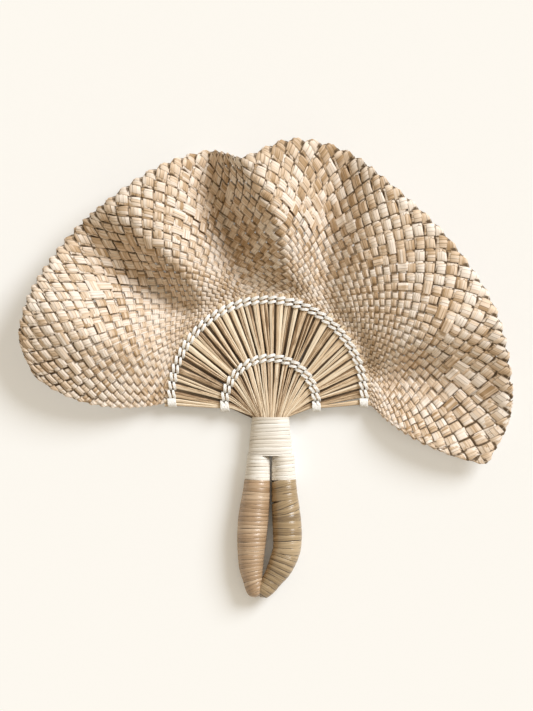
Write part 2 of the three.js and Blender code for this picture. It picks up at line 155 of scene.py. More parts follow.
# Twined cords: points in a stitch, sway in the row, rise over a stalk, fullness of the
# rise, and how far the threads close up between stitches.
STITCH_STEPS = 12
CORD_SWAY = 0.75
CORD_RISE = 2.5
CORD_FULLNESS = 0.42
CORD_PINCH = 0.62
CORD_WIDTH = 0.7
TIE_TURNS = 4.5
TIE_HALF_SIZE = (3.3, 2.7)

# Wrappings: the neck's width and depth at its top and bottom and its overhang on the legs,
# how far under the outside a strip starts, and points in a turn.
NECK_WIDTHS = (27.6, 33.2)
NECK_DEPTHS = (18.4, 17.0)
NECK_OVERHANG = 0.6
UNDER_STRIP = 0.6
TURN_STEPS = 28

# Sheet that the strands lie on: it starts a little inside the outer band, its rows widen
# toward the rim, and its columns are finer toward the left.
SHEET_START = -0.06
PITCH_GROWTH = 2.4
FINER_LEFT = 0.12
SHEET_COLUMNS = 480
SHEET_ROWS = 72
SHEET_MARGIN = 0.0002

# Strips: points along a strand and round a strip, how square a flat section is, and the
# angle in radians past which an edge stays sharp.
STRAND_STEPS = 301
STRIP_SIDES = 8
SQUARENESS = 0.55
CREASE_ANGLE = 1.15

# Strands: rows tucked under the band, share of the length before the fold, roundness of
# the fold with the slack that it takes up, and share of ends that lie loose.
TUCKED_ROWS = 0.35
OUTWARD_SHARE = 0.75
FOLD_ROUNDNESS = 0.006
FOLD_SLACK = 0.077
LOOSE_ENDS = 0.5

# Stage: floor just under the fan, the reach of the occlusion that keeps the floor's painted light out of
# shadows close under the fan, the sun's width and tilt in degrees, and the point looked at.
FLOOR_REACH = 6.0
FLOOR_HEIGHT = -0.0006
NEAR_SHADOW = 0.02
SUN_WIDTH = 30
SUN_TILT = (-31, 45.5, 0)
VIEW_MIDDLE = (-3.0, 36.4, 18)
SENSOR_WIDTH = 36

# Finishes: how strongly straw's fibres stand out, and what every shader group puts out.
BUMP_STRENGTH = 0.6
LOOK_OUTPUTS = {"Color": "Color", "Roughness": "Float", "Height": "Float"}


def hub():
    """Middle of the inner band in the frame, in metres."""
    low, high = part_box("gathered_butts")
    return np.array([
        (low.x + high.x) / 2,
        high.y - GATHER_TOP * MM,
        (low.z + high.z) / 2 - FAN_HEIGHT * MM,
    ])


def in_frame(points):
    """Points in millimetres from the hub, as metres in the frame."""
    return np.asarray(points, float) * MM + hub()


def smooth_line(points, places):
    """Centripetal spline through points, at places counted in points."""
    points = np.asarray(points, float)
    index = np.clip(np.floor(places).astype(int), 0, len(points) - 2)
    share = (places - index)[:, None]
    ends = np.vstack([2 * points[0] - points[1], points, 2 * points[-1] - points[-2]])
    p0, p1, p2, p3 = (ends[index + k] for k in range(4))

    def stride(a, b):
        return np.maximum(((a - b) ** 2).sum(1), 1e-12)[:, None] ** 0.25

    d0, d1, d2 = stride(p0, p1), stride(p1, p2), stride(p2, p3)
    t1 = ((p1 - p0) / d0 - (p2 - p0) / (d0 + d1) + (p2 - p1) / d1) * d1
    t2 = ((p2 - p1) / d1 - (p3 - p1) / (d1 + d2) + (p3 - p2) / d2) * d1
    square = (-3 * p1 + 3 * p2 - 2 * t1 - t2) * share ** 2
    cube = (2 * p1 - 2 * p2 + t1 + t2) * share ** 3
    return p1 + t1 * share + square + cube


def even_line(points, count):
    """Spline through points, at places an even length apart."""
    fine = smooth_line(points, np.linspace(0, len(points) - 1, 60 * len(points)))
    length = np.concatenate([[0], np.cumsum(np.linalg.norm(np.diff(fine[:, :3], axis=0), axis=1))])
    wanted = np.linspace(0, length[-1], count)
    return np.stack([np.interp(wanted, length, fine[:, k]) for k in range(fine.shape[1])], 1)


def smoothstep(low, high, value):
    """Eased step from 0 to 1."""
    share = np.clip((value - low) / (high - low), 0, 1)
    return share * share * (3 - 2 * share)


def across_of(points):
    """Level direction square to a line at each of its points."""
    along = np.gradient(points, axis=0)
    across = np.stack([-along[:, 1], along[:, 0], np.zeros(len(points))], 1)
    return across / np.maximum(np.linalg.norm(across, axis=1), 1e-9)[:, None]


def blade_point(fold, out):
    """Middle surface of the blade in millimetres, at fold places and shares out."""
    angle = np.radians(smooth_line(np.stack([FOLDS[:, 0], FOLDS[:, 0] * 0], 1), fold)[:, 0])
    scale = np.array([BLADE_HALF_WIDTH, BLADE_REACH, CREST_HEIGHT])
    start = np.stack([
        OUTER_BAND_CENTRE[0] + BLADE_START * np.cos(angle),
        OUTER_BAND_CENTRE[1] + BLADE_START * np.sin(angle),
        np.full_like(angle, FAN_HEIGHT),
    ], 1)
    half = smooth_line(FOLDS[:, 1:4] * scale, fold)
    rim = smooth_line(FOLDS[:, 4:7] * scale, fold)
    out = out[:, None]
    point = start * 2 * (out - 0.5) * (out - 1) + half * 4 * out * (1 - out)
    point += rim * 2 * out * (out - 0.5)
    eased = smoothstep(0, 0.15, out[:, 0])
    point[:, 2] = FAN_HEIGHT + (point[:, 2] - FAN_HEIGHT) * eased
    return point


def out_share(row):
    """Share of the way from band to rim for a share of the weave's rows."""
    return (PITCH_GROWTH ** row - 1) / (PITCH_GROWTH - 1)


def even_folds(count):
    """Fold places that part the blade into columns, a little finer toward the left."""
    fine = np.linspace(0, len(FOLDS) - 1, 2400)
    length = np.zeros(len(fine))
    finer = np.linspace(1 + FINER_LEFT, 1 - FINER_LEFT, len(fine) - 1)
    for out in (0.35, 0.7, 1.0):
        points = blade_point(fine, np.full(len(fine), out))
        steps = np.linalg.norm(np.diff(points, axis=0), axis=1) * finer
        length[1:] += np.cumsum(steps) / steps.sum()
    return np.interp(np.linspace(0, length[-1], count), length, fine)


def sheet_mesh(name):
    """Blade surface as a fine grid with weave coordinates and a facing direction."""
    across = np.linspace(0, 1, SHEET_COLUMNS)
    rows = np.linspace(SHEET_START, 1, SHEET_ROWS)
    fold = even_folds(SHEET_COLUMNS)
    points = np.stack([
        in_frame(blade_point(fold, np.full(SHEET_COLUMNS, out_share(row)))) for row in rows
    ])
    facing = np.cross(np.gradient(points, axis=0), np.gradient(points, axis=1))
    facing *= np.where(facing[..., 2:] < 0, -1, 1)
    facing /= np.linalg.norm(facing, axis=2)[..., None]
    corner = np.arange(SHEET_ROWS * SHEET_COLUMNS).reshape(SHEET_ROWS, SHEET_COLUMNS)
    rounds = [corner[:-1, :-1], corner[:-1, 1:], corner[1:, 1:], corner[1:, :-1]]
    faces = np.stack(rounds, 2).reshape(-1, 4)
    mesh = bpy.data.meshes.new(name)
    mesh.from_pydata(points.reshape(-1, 3), [], faces.tolist())
    weave = np.stack(np.meshgrid(across, np.linspace(0, 1, SHEET_ROWS)), 2).reshape(-1, 2)
    layer = mesh.uv_layers.new(name="weave")
    layer.data.foreach_set("uv", weave[faces.reshape(-1)].astype(np.float32).reshape(-1))
    mark(mesh, "facing", facing.reshape(-1, 3))
    return mesh


def mark(mesh, name, values):
    """Stores one number or vector for each point of a mesh."""
    values = np.asarray(values, np.float32)
    if values.ndim == 1:
        mesh.attributes.new(name, "FLOAT", "POINT").data.foreach_set("value", values)
    else:
        mesh.attributes.new(name, "FLOAT_VECTOR", "POINT").data.foreach_set("vector", values.reshape(-1))


def line_mesh(name, lines, **marks):
    """Open lines as a mesh of edges, with marks that have one entry for each line."""
    mesh = bpy.data.meshes.new(name)
    edges = []
    start = 0
    for line in lines:
        edges += [(start + k, start + k + 1) for k in range(len(line) - 1)]
        start += len(line)
    mesh.from_pydata(np.concatenate(lines), edges, [])
    for key, values in marks.items():
        mark(mesh, key, np.concatenate(values))
    return mesh


def joins(operation):
    """Two methods that put an operation between a field and a value, on either side of it."""

    def before(field, other):
        return field.graph.math(operation, field, other)

    def after(field, other):
        return field.graph.math(operation, other, field)

    return before, after


class Field:
    """A value in a node tree that can be written into sums and products."""

    def __init__(self, graph, socket):
        self.graph = graph
        self.socket = socket

    __add__, __radd__ = joins("ADD")
    __sub__, __rsub__ = joins("SUBTRACT")
    __mul__, __rmul__ = joins("MULTIPLY")
    __truediv__, __rtruediv__ = joins("DIVIDE")

    def __abs__(self):
        return self.graph.math("ABSOLUTE", self)


class Graph:
    """A node tree under construction."""

    def __init__(self, tree):
        self.tree = tree
        self.placed = 0

    def node(self, kind, inputs=None, **settings):
        """Adds a node, sets it and feeds its inputs."""
        node = self.tree.nodes.new(kind)
        node.location = (180 * (self.placed // 6), -170 * (self.placed % 6))
        self.placed += 1
        for key, value in settings.items():
            setattr(node, key, value)
        for key, value in (inputs or {}).items():
            self.feed(node.inputs[key], value)
        return node

    def feed(self, socket, value):
        """Links a field or socket to an input, or sets the input's own value."""
        if isinstance(value, Field):
            value = value.socket
        if isinstance(value, bpy.types.NodeSocket):
            self.tree.links.new(value, socket)
        else:
            socket.default_value = value

    def field(self, kind, inputs=None, output=0, **settings):
        """Adds a node and gives one of its outputs as a field."""
        return Field(self, self.node(kind, inputs, **settings).outputs[output])

    def math(self, operation, *values):
        """Arithmetic on one to three values."""
        return self.field("ShaderNodeMath", dict(enumerate(values)), operation=operation)

    def vector(self, x, y, z):
        """Vector of three values."""
        return self.field("ShaderNodeCombineXYZ", {0: x, 1: y, 2: z})

    def parts(self, vector):
        """The three values of a vector."""
        node = self.node("ShaderNodeSeparateXYZ", {0: vector})
        return [Field(self, socket) for socket in node.outputs]

    def vector_sum(self, a, b):
        """Sum of two vectors."""
        return self.field("ShaderNodeVectorMath", {0: a, 1: b}, operation="ADD")

    def scaled(self, vector, factor):
        """Vector times a value."""
        return self.field("ShaderNodeVectorMath", {0: vector, "Scale": factor}, operation="SCALE")

    def ease(self, value, low, high):
        """Eased step from 0 to 1."""
        inputs = {0: value, 1: low, 2: high, 3: 0.0, 4: 1.0}
        return self.field("ShaderNodeMapRange", inputs, interpolation_type="SMOOTHSTEP")

    def clamped(self, value, low, high):
        """Value held between low and high."""
        return self.math("MINIMUM", self.math("MAXIMUM", value, low), high)

    def ramp(self, value, low, high, start, end):
        """Straight change from start to end, held at both ends."""
        return self.field("ShaderNodeMapRange", {0: value, 1: low, 2: high, 3: start, 4: end})

    def noise(self, x, y, z, scale=1.0, detail=2.0):
        """Smooth noise between 0 and 1."""
        inputs = {"Vector": self.vector(x, y, z), "Scale": scale, "Detail": detail}
        return self.field("ShaderNodeTexNoise", inputs)

    def blend(self, factor, a, b):
        """Mix of two colours."""
        return self.field("ShaderNodeMix", {0: factor, 6: a, 7: b}, 2, data_type="RGBA")

    def squared_off(self, value):
        """Circle coordinate pushed outward, so that a round section becomes a flat strip."""
        size = self.math("POWER", abs(value), SQUARENESS)
        return self.math("SIGN", value) * size

    def painted(self, name):
        """Mark stored on the geometry, as a material reads it."""
        return self.field("ShaderNodeAttribute", None, "Fac", attribute_name=name)

    def named(self, name, kind="FLOAT"):
        """Mark stored on the geometry, as a growth tree reads it."""
        return self.field("GeometryNodeInputNamedAttribute", {"Name": name}, data_type=kind)

    def store(self, geometry, name, value, domain="POINT"):
        """Geometry with a mark stored on it."""
        inputs = {"Geometry": geometry, "Name": name, "Value": value}
        return self.field("GeometryNodeStoreNamedAttribute", inputs, domain=domain, data_type="FLOAT")

    def marked(self, geometry, **marks):
        """Geometry with several marks stored on it."""
        for name, value in marks.items():
            geometry = self.store(geometry, name, value)
        return geometry

    def chance(self, low, high, number, seed):
        """Random value between low and high, fixed for each number."""
        inputs = {2: low, 3: high, "ID": number, "Seed": seed}
        return self.field("FunctionNodeRandomValue", inputs, 1, data_type="FLOAT")

    def ribbon(self, steps, sides):
        """Closed tube along Z from 0 to 1, with a round section of radius 1."""
        line = self.field("GeometryNodeCurvePrimitiveLine", {"Start": (0, 0, 0), "End": (0, 0, 1)})
        line = self.field("GeometryNodeResampleCurve", {"Curve": line, "Count": steps})
        ring = self.field("GeometryNodeCurvePrimitiveCircle", {"Resolution": sides, "Radius": 1.0})
        inputs = {"Curve": line, "Profile Curve": ring, "Fill Caps": True}
        return self.field("GeometryNodeCurveToMesh", inputs)

    def copies(self, shape, count, name):
        """Numbered copies of a shape, realised at the origin."""
        points = self.field("GeometryNodeMeshLine", {"Count": count, "Offset": (0, 0, 0)})
        copies = self.field("GeometryNodeInstanceOnPoints", {"Points": points, "Instance": shape})
        numbered = self.store(copies, name, self.field("GeometryNodeInputIndex"), "INSTANCE")
        return self.field("GeometryNodeRealizeInstances", {"Geometry": numbered})

    def finished(self, geometry, material):
        """Ends a growth tree: smooth faces, real instances and a material."""
        angle = self.field("GeometryNodeInputMeshEdgeAngle")
        soft = self.field("GeometryNodeSetShadeSmooth", {"Geometry": geometry}, domain="FACE")
        sharp = self.math("GREATER_THAN", angle, CREASE_ANGLE)
        inputs = {"Geometry": soft, "Selection": sharp, "Shade Smooth": False}
        creased = self.field("GeometryNodeSetShadeSmooth", inputs, domain="EDGE")
        real = self.field("GeometryNodeRealizeInstances", {"Geometry": creased})
        painted = self.field("GeometryNodeSetMaterial", {"Geometry": real, "Material": material})
        self.node("NodeGroupOutput", {"Geometry": painted})


def node_group(name, kind, inputs, outputs):
    """New node tree with named sockets, as its graph and its input fields."""
    tree = bpy.data.node_groups.new(name, kind)
    for way, sockets in (("OUTPUT", outputs), ("INPUT", inputs)):
        for label, value in sockets.items():
            tree.interface.new_socket(label, in_out=way, socket_type="NodeSocket" + value)
    graph = Graph(tree)
    source = graph.node("NodeGroupInput")
    return graph, {socket.name: Field(graph, socket) for socket in source.outputs if socket.name}


def growth_tree(name, inputs):
    """New geometry node tree that grows a mesh into a piece."""
    shape = {"Geometry": "Geometry"}
    graph, given = node_group(name, "GeometryNodeTree", {**shape, **inputs}, shape)
    graph.tree.is_modifier = True
    return graph, given


def weave_tree():
    """Bias strands over a sheet: over one, under one, folded back at the rim and the sides."""
    measures = (
        "First", "Across", "Out", "Width", "Depth", "Lift", "Crown", "Bump", "Turn Back", "Growth", "Side")
    g, given = growth_tree("bias_weave", {
        "Strands": "Int", **dict.fromkeys(measures, "Float"), "Seed": "Int", "Material": "Material",
    })
    across, out, side = given["Across"], given["Out"], given["Side"]
    strips = g.copies(g.ribbon(STRAND_STEPS, STRIP_SIDES), given["Strands"], "strand")
    strand = g.named("strand")
    x, y, z = g.parts(g.field("GeometryNodeInputPosition"))
    seed = given["Seed"]

    # Row along the strand: from the band out to the rim or the side, then back again.
    index = strand + given["First"]
    start = g.math("MAXIMUM", -TUCKED_ROWS, index * -1.0)
    to_side = across - index
    edge = g.math("MINIMUM", out, to_side)
    mirrored = g.math("LESS_THAN", side, 0.0)
    slant_at_edge = g.math("GREATER_THAN", out, to_side)
    last_cell = abs(mirrored - slant_at_edge) * 0.5 + 0.22
    back = g.math("FLOOR", given["Turn Back"] * g.chance(0.75, 1.3, strand, seed)) + last_cell
    run = g.math("MINIMUM", z / OUTWARD_SHARE, 1.0)
    turned = g.math("MAXIMUM", (z - OUTWARD_SHARE) / (1 - OUTWARD_SHARE), 0.0)
    row = start + (edge - start) * run + back * turned

    # Place in the weave: u across the blade and v out from the band, counted in cells.
    wobble = g.noise(row * 0.45, strand * 3.7, side * 9.0) - 0.5
    half = given["Width"] * g.chance(0.9, 1.05, strand, seed + 1.0)
    flat = g.squared_off(x)
    strip = half * flat + g.chance(-0.04, 0.04, strand, seed + 2.0) + wobble * 0.16
    from_edge = g.ease(abs(row - edge), 0.0, 1.5)
    slant = slant_at_edge + (0.5 - slant_at_edge) * from_edge
    v = row - slant * strip
    u = v + index + strip

    pulled = given["Bump"] * (strip / half) * (strip / half) * (1.0 - from_edge)
    over_rim = v - (out - pulled)
    over_side = u - (across - pulled)

    def folded(limit, excess):
        rounded = g.math("SQRT", excess * excess + FOLD_ROUNDNESS)
        return limit - pulled - rounded + FOLD_SLACK

    # Over one, under one; a fold changes sides, and a loose end lies on top.
    fold_rim = g.ease(over_rim, -0.3, 0.3)
    fold_side = g.ease(over_side, -0.3, 0.3)
    wave = g.math("COSINE", (v * 2.0 + strip) * math.pi)
    wave = wave * (1.5 - wave * wave * 0.5)
    over = wave * (1.0 - fold_rim * 2.0) * (1.0 - fold_side * 2.0)
    to_end = edge + back - row
    free = g.math("LESS_THAN", g.chance(0.0, 1.0, strand, seed + 5.0), LOOSE_ENDS)
    free = free * g.math("GREATER_THAN", abs(to_side - out), 5.0)
    loose = (1.0 - g.ease(to_end, 0.5, 0.85)) * free
    over = over + (side - over) * loose
    raised = loose * 1.1 + (1.0 - g.ease(to_end, 0.0, 0.35)) * 0.35

    # Height over the sheet, smaller toward the band and doubled where ends are turned back.
    row_place = folded(out, over_rim)
    column_place = folded(across, over_side)
    from_side = g.math("MINIMUM", column_place, across - column_place)
    from_rim = g.math("MINIMUM", out - row_place, from_side)
    doubled = 1.0 - g.ease(from_rim, 2.6, 4.2)
    out_place = row_place / out
    size = g.ramp(out_place, 0.0, 1.0, 0.45, 1.0)
    depth = given["Depth"] * size
    lift = given["Lift"] * size * over * (1.0 + doubled * 0.35)
    height = (lift + depth * 0.35 * doubled) * side
    uneven = (g.noise(row * 1.3, strand * 5.1, side * 4.0 + 2.0) - 0.5) * depth * 0.4
    crown = flat * flat * given["Crown"] * size * side * over
    height = height + uneven - crown + g.squared_off(y) * depth * 0.5 + raised * depth

    # Spot on the sheet, whose rows widen toward the rim.
    place_u = column_place / across
    place_u = place_u + mirrored * (1.0 - place_u * 2.0)
    growth = given["Growth"]
    row_share = (g.math("POWER", growth, out_place) - 1.0) / (growth - 1.0)
    place_v = (row_share - SHEET_START) / (1 - SHEET_START)
    spot = g.vector(*(
        g.clamped(place, SHEET_MARGIN, 1 - SHEET_MARGIN) for place in (place_u, place_v)), 0.0)

    def on_sheet(value):
        inputs = {
            "Mesh": given["Geometry"], "Value": value, "Sample UV": spot,
            "UV Map": g.named("weave", "FLOAT_VECTOR"),
        }
        return g.field("GeometryNodeSampleUVSurface", inputs, data_type="FLOAT_VECTOR")

    ground = on_sheet(g.field("GeometryNodeInputPosition"))
    facing = on_sheet(g.named("facing", "FLOAT_VECTOR"))
    # Painted shade: a strand darkens where it dives under a crossing strand, more so toward the rim,
    # standing in for the shadow of the strand over it; loose ends get none.
    shade_toward_rim = g.ramp(out_place, 0.45, 0.95, 0.7, 1.12) + g.ease(out_place, 0.8, 1.0) * 0.4
    dive = (1.0 - abs(wave)) * (1.0 - loose) * shade_toward_rim
    tone = g.chance(0.0, 1.0, strand, seed + 3.0)
    strips = g.marked(strips, along=row, round=flat, tone=tone, dive=dive)
    place = g.vector_sum(ground, g.scaled(facing, height))
    woven = g.field("GeometryNodeSetPosition", {"Geometry": strips, "Position": place})
    g.finished(woven, given["Material"])
    return g.tree


def bundle_tree():
    """Straws or threads side by side along each line of a mesh."""
    g, given = growth_tree("side_by_side", {
        **dict.fromkeys(("Count", "Layers", "Sides", "Seed"), "Int"),
        **dict.fromkeys(("Drop", "Gauge", "Flatness", "Rise", "Wander"), "Float"), "Material": "Material",
    })
    line = g.field("GeometryNodeMeshToCurve", {"Mesh": given["Geometry"]})
    lines = g.copies(line, given["Count"] * given["Layers"], "straw")
    straw = g.named("straw")
    seed = given["Seed"]
    length = g.field("GeometryNodeSplineParameter", output=1)
    middle = (given["Count"] - 1.0) / 2.0
    layer = g.math("FLOOR", (straw + 0.01) / given["Count"])
    beside = straw - layer * given["Count"] + layer * 0.5
    drift = g.noise(length * 40.0, straw * 7.3, seed * 1.7) - 0.5
    climb = g.noise(length * 40.0, straw * 5.9 + 40.0, seed * 1.3) - 0.5
    place = (beside - middle) * g.named("spread") + drift * given["Wander"]
    shifted = g.vector_sum(
        g.scaled(g.named("across", "FLOAT_VECTOR"), place),
        g.vector(0.0, 0.0, climb * given["Rise"] - layer * given["Drop"]),
    )
    moved = g.field("GeometryNodeSetPosition", {"Geometry": lines, "Offset": shifted})
    # Painted shade: the lower layer's straws get a darker tone and a full dive shade mark, standing in for
    # the shade under the upper layer.
    tone = g.chance(0.0, 1.0, straw, seed) * (1.0 - layer * 0.7)
    moved = g.marked(moved, along=length * 100.0, tone=tone, dive=layer)
    moved = g.field("GeometryNodeSetCurveNormal", {"Curve": moved}, mode="Z_UP")
    ring = g.field("GeometryNodeCurvePrimitiveCircle", {"Resolution": given["Sides"], "Radius": 1.0})
    turn = g.field("GeometryNodeSplineParameter")
    ring = g.store(ring, "round", g.math("COSINE", turn * (2 * math.pi)))
    rx, ry, _ = g.parts(g.field("GeometryNodeInputPosition"))
    flat = g.vector(rx, ry * given["Flatness"], 0.0)
    ring = g.field("GeometryNodeSetPosition", {"Geometry": ring, "Position": flat})
    girth = given["Gauge"] * g.named("girth") * g.chance(0.72, 1.2, straw, seed + 1.0)
    girth = girth * (1.0 + layer * 0.7)
    inputs = {"Curve": moved, "Profile Curve": ring, "Scale": girth, "Fill Caps": True}
    g.finished(g.field("GeometryNodeCurveToMesh", inputs), given["Material"])
    return g.tree


def winding_tree():
    """A strip wound along a line, each turn lapping a little over the one before."""
    g, given = growth_tree("wound_strip", {
        **dict.fromkeys(("Turns", "Width", "Depth", "Lap", "Ragged", "Tilt"), "Float"),
        **dict.fromkeys(("Steps", "Seed"), "Int"), "Material": "Material",
    })
    line = g.field("GeometryNodeMeshToCurve", {"Mesh": given["Geometry"]})
    strip = g.ribbon(given["Steps"], STRIP_SIDES)
    x, y, z = g.parts(g.field("GeometryNodeInputPosition"))
    turns, seed = given["Turns"], given["Seed"]
    turn = z * (turns + 2.0) - 1.0
    flat = g.squared_off(x)
    ragged = g.noise(turn * 2.2, flat * 0.6, seed * 3.1) - 0.5
    angle = turn * (2 * math.pi) + seed * 1.3
    slanted = (g.noise(turn * 0.4, seed * 1.9, 2.0) - 0.5) * g.math("COSINE", angle)
    shifted = ragged * given["Ragged"] + slanted * given["Tilt"]
    share = g.clamped((turn + given["Width"] * 0.5 * (1.0 + flat) + shifted) / turns, 0.0, 1.0)

    def on_line(name, kind):
        inputs = {"Curves": line, "Value": g.named(name, kind), "Factor": share}
        return g.node("GeometryNodeSampleCurve", inputs, data_type=kind, mode="FACTOR")

    at = on_line("across", "FLOAT_VECTOR")
    across = Field(g, at.outputs["Value"])
    centre = Field(g, at.outputs["Position"])
    wide = Field(g, on_line("wide", "FLOAT").outputs["Value"])
    deep = Field(g, on_line("deep", "FLOAT").outputs["Value"])
    puff = (g.noise(turn * 1.1, seed * 2.3, 5.0) - 0.5) * 0.2
    layer = given["Depth"] * (0.5 + 0.5 * g.squared_off(y) + puff) + given["Lap"] * flat
    out_wide = (wide + layer) * g.math("COSINE", angle)
    out_deep = (deep + layer) * g.math("SINE", angle)
    offset = g.vector_sum(g.scaled(across, out_wide), g.vector(0.0, 0.0, out_deep))
    px, py, pz = g.parts(g.vector_sum(centre, offset))
    place = g.vector(px, py, g.math("MAXIMUM", pz, 0.0))
    tone = g.chance(0.0, 1.0, g.math("FLOOR", turn), seed)
    strip = g.marked(strip, along=turn * 5.0, round=flat, tone=tone)
    wound = g.field("GeometryNodeSetPosition", {"Geometry": strip, "Position": place})
    g.finished(wound, given["Material"])
    return g.tree


def placed(name, data):
    """New object in the scene."""
    thing = bpy.data.objects.new(name, data)
    bpy.context.scene.collection.objects.link(thing)
    return thing


def blank_graph(owner):
    """Empty node graph of a material or a world."""
    owner.use_nodes = True
    owner.node_tree.nodes.clear()
    return Graph(owner.node_tree)


def grow(name, mesh, tree, **values):
    """Runs a growth tree on a mesh and keeps the result as a plain mesh object."""
    piece = placed(name, mesh)
    modifier = piece.modifiers.new("growth", "NODES")
    modifier.node_group = tree
    for item in tree.interface.items_tree:
        label = item.name.lower().replace(" ", "_")
        if item.item_type == "SOCKET" and item.in_out == "INPUT" and label in values:
            modifier[item.identifier] = values[label]
    graph = bpy.context.evaluated_depsgraph_get()
    shape = piece.evaluated_get(graph)
    grown = bpy.data.meshes.new_from_object(shape, preserve_all_data_layers=True, depsgraph=graph)
    piece.modifiers.clear()
    piece.data = grown
    grown.name = name
    bpy.data.meshes.remove(mesh)
    if not grown.polygons:
        raise RuntimeError(name + " has no faces")
    return piece


def shared_tree(name, make):
    """Node tree of that name, made on first use."""
    return bpy.data.node_groups.get(name) or make()


def fibre_group():
    """Dry straw or leaf: split lengthwise into straws of unlike tones, with fine fibres and painted shade
    in its grooves, along its edges, at its creases and where it dives under another strand.
    """
    inputs = dict.fromkeys(("Pale", "Warm", "Dark"), "Color")
    measures = ("Straws", "Stretch", "Variety", "Groove", "Edge", "Gloss", "Seams")
    inputs.update(dict.fromkeys(measures, "Float"))
    g, given = node_group("fibre", "ShaderNodeTree", inputs, LOOK_OUTPUTS)
    along, around, tone, dive = (g.painted(name) for name in ("along", "round", "tone", "dive"))
    drawn = along * given["Stretch"]
    fine = g.noise(drawn, around * 5.0, tone * 57.0, 1.6, 3.0)
    slow = g.noise(drawn * 0.45, around * 0.9, tone * 91.0, 1.0, 2.0)
    straws = (around * 0.5 + 0.5) * given["Straws"] + (slow - 0.5) * 0.9
    lot = g.vector(g.math("FLOOR", straws), g.math("FLOOR", tone * 997.0), 3.0)
    lot = g.field("ShaderNodeTexWhiteNoise", {"Vector": lot}, "Value", noise_dimensions="3D")
    valley = abs(g.math("SINE", straws * math.pi))
    nearest = g.math("FLOOR", straws + 0.5)
    split = g.ease(g.noise(along * 0.5, nearest * 7.0, tone * 31.0), 0.35, 0.6)
    groove = (1.0 - g.ease(valley, 0.0, 0.55)) * (split * 0.75 + 0.25)
    shade = (tone - 0.5) * 0.5 + (lot - 0.5) * 0.5 + (fine - 0.5) * 1.0 + (slow - 0.5) * 0.6
    shade = shade * given["Variety"] + 0.6
    colour = g.blend(g.ease(shade, 0.0, 0.5), given["Dark"], given["Warm"])
    colour = g.blend(g.ease(shade, 0.42, 1.0), colour, given["Pale"])
    # Painted shade: the colour darkens along a strip's rounded edges, in the grooves between its straws,
    # where a strand dives under another and at the crease of each lapped turn.
    edge_shade = g.ease(abs(around), 0.82, 1.0) * given["Edge"]
    lit_share = (1.0 - groove * given["Groove"]) * (1.0 - edge_shade)
    lit_share = lit_share * (1.0 - g.ease(dive, 0.36, 0.8) * 0.97)
    crease_shadow_patch = g.ease(g.noise(along * 0.9, tone * 23.0, 7.0), 0.42, 0.53)
    lit_share = lit_share * (1.0 - g.ease(around, 0.68, 0.86) * crease_shadow_patch * given["Seams"])
    # The painted shade blends the colour toward a deep shade of the dark colour.
    colour = g.blend(lit_share, g.scaled(given["Dark"], 0.34), colour)
    rough = g.ramp(fine, 0.25, 0.75, 0.45, 0.62) - given["Gloss"]
    height = (1.0 - groove) * 0.7 + fine * 0.5
    g.node("NodeGroupOutput", {"Color": colour, "Roughness": rough, "Height": height})
    return g.tree


def thread_group():
    """Spun cotton: fine slanting plies and a little loose fluff, with painted shade in the hollows between
    plies.
    """
    inputs = {"Pale": "Color", "Dark": "Color", "Plies": "Float"}
    g, given = node_group("spun_thread", "ShaderNodeTree", inputs, LOOK_OUTPUTS)
    along, around, tone = (g.painted(name) for name in ("along", "round", "tone"))
    ply = abs(g.math("SINE", along * given["Plies"] + around * 1.6))
    fluff = g.noise(along * 6.0, around * 2.0, tone * 41.0, 2.0, 3.0)
    # Painted shade: the grey colour fills the hollows between plies.
    shade = g.ease(ply * 0.6 + fluff * 0.6, 0.15, 0.75)
    colour = g.blend(shade, given["Dark"], given["Pale"])
    rough = g.ramp(fluff, 0.2, 0.8, 0.7, 0.9)
    height = ply * 0.7 + fluff * 0.5
    g.node("NodeGroupOutput", {"Color": colour, "Roughness": rough, "Height": height})
    return g.tree


def surface(name, group, values, relief, strength, specular, sheen=0.0):
    """Material whose colour, roughness and bump come from a shared group."""
    material = bpy.data.materials.new(name)
    g = blank_graph(material)
    look = g.node("ShaderNodeGroup", node_tree=group)
    for label, value in values.items():
        g.feed(look.inputs[label], value)
    bump = g.node("ShaderNodeBump", {
        "Strength": strength, "Distance": relief, "Height": look.outputs["Height"],
    })
    shader = g.node("ShaderNodeBsdfPrincipled", {
        "Base Color": look.outputs["Color"], "Roughness": look.outputs["Roughness"],
        "Normal": bump.outputs[0], "Specular IOR Level": specular, "Sheen Weight": sheen,
    })
    g.node("ShaderNodeOutputMaterial", {"Surface": shader.outputs[0]})
    return material


def straw_material(
        name, look, straws, stretch, variety, groove, edge,
        gloss=0.0, relief=0.0006, specular=0.4, seams=0.0):
    """Dry straw or leaf in a group of settings' colours; groove, edge and crease shade set how much shade
    is painted in its grooves, along its edges and at its creases.
    """
    values = {
        "Pale": tuple(look.pale), "Warm": tuple(look.warm), "Dark": tuple(look.dark),
        "Straws": straws, "Stretch": stretch, "Variety": variety, "Groove": groove, "Edge": edge,
        "Gloss": gloss, "Seams": seams,
    }
    return surface(name, shared_tree("fibre", fibre_group), values, relief, BUMP_STRENGTH, specular)


def settle(piece, node):
    """Rides a piece on the fan and hides the CAD node it stands for."""
    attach(piece, "root")
    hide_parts(node)


def stalk_angles():
    """Angle of each stalk, from the right edge round to the left."""
    return np.radians(np.linspace(90 - FAN_SPREAD / 2, 90 + FAN_SPREAD / 2, STALK_COUNT))


def on_circle(centre, radius, angle, height=FAN_HEIGHT):
    """Point in millimetres on a level circle."""
    return [centre[0] + radius * math.cos(angle), centre[1] + radius * math.sin(angle), height]


def paired_angle(number, radius):
    """Angle of a stalk that is squeezed beside its partner at the inner band."""
    angles = stalk_angles()
    first = number - number % 2
    side = -1 if number % 2 == 0 else 1
    return (angles[first] + angles[first + 1]) / 2 + side * PAIR_HALF_GAP / radius


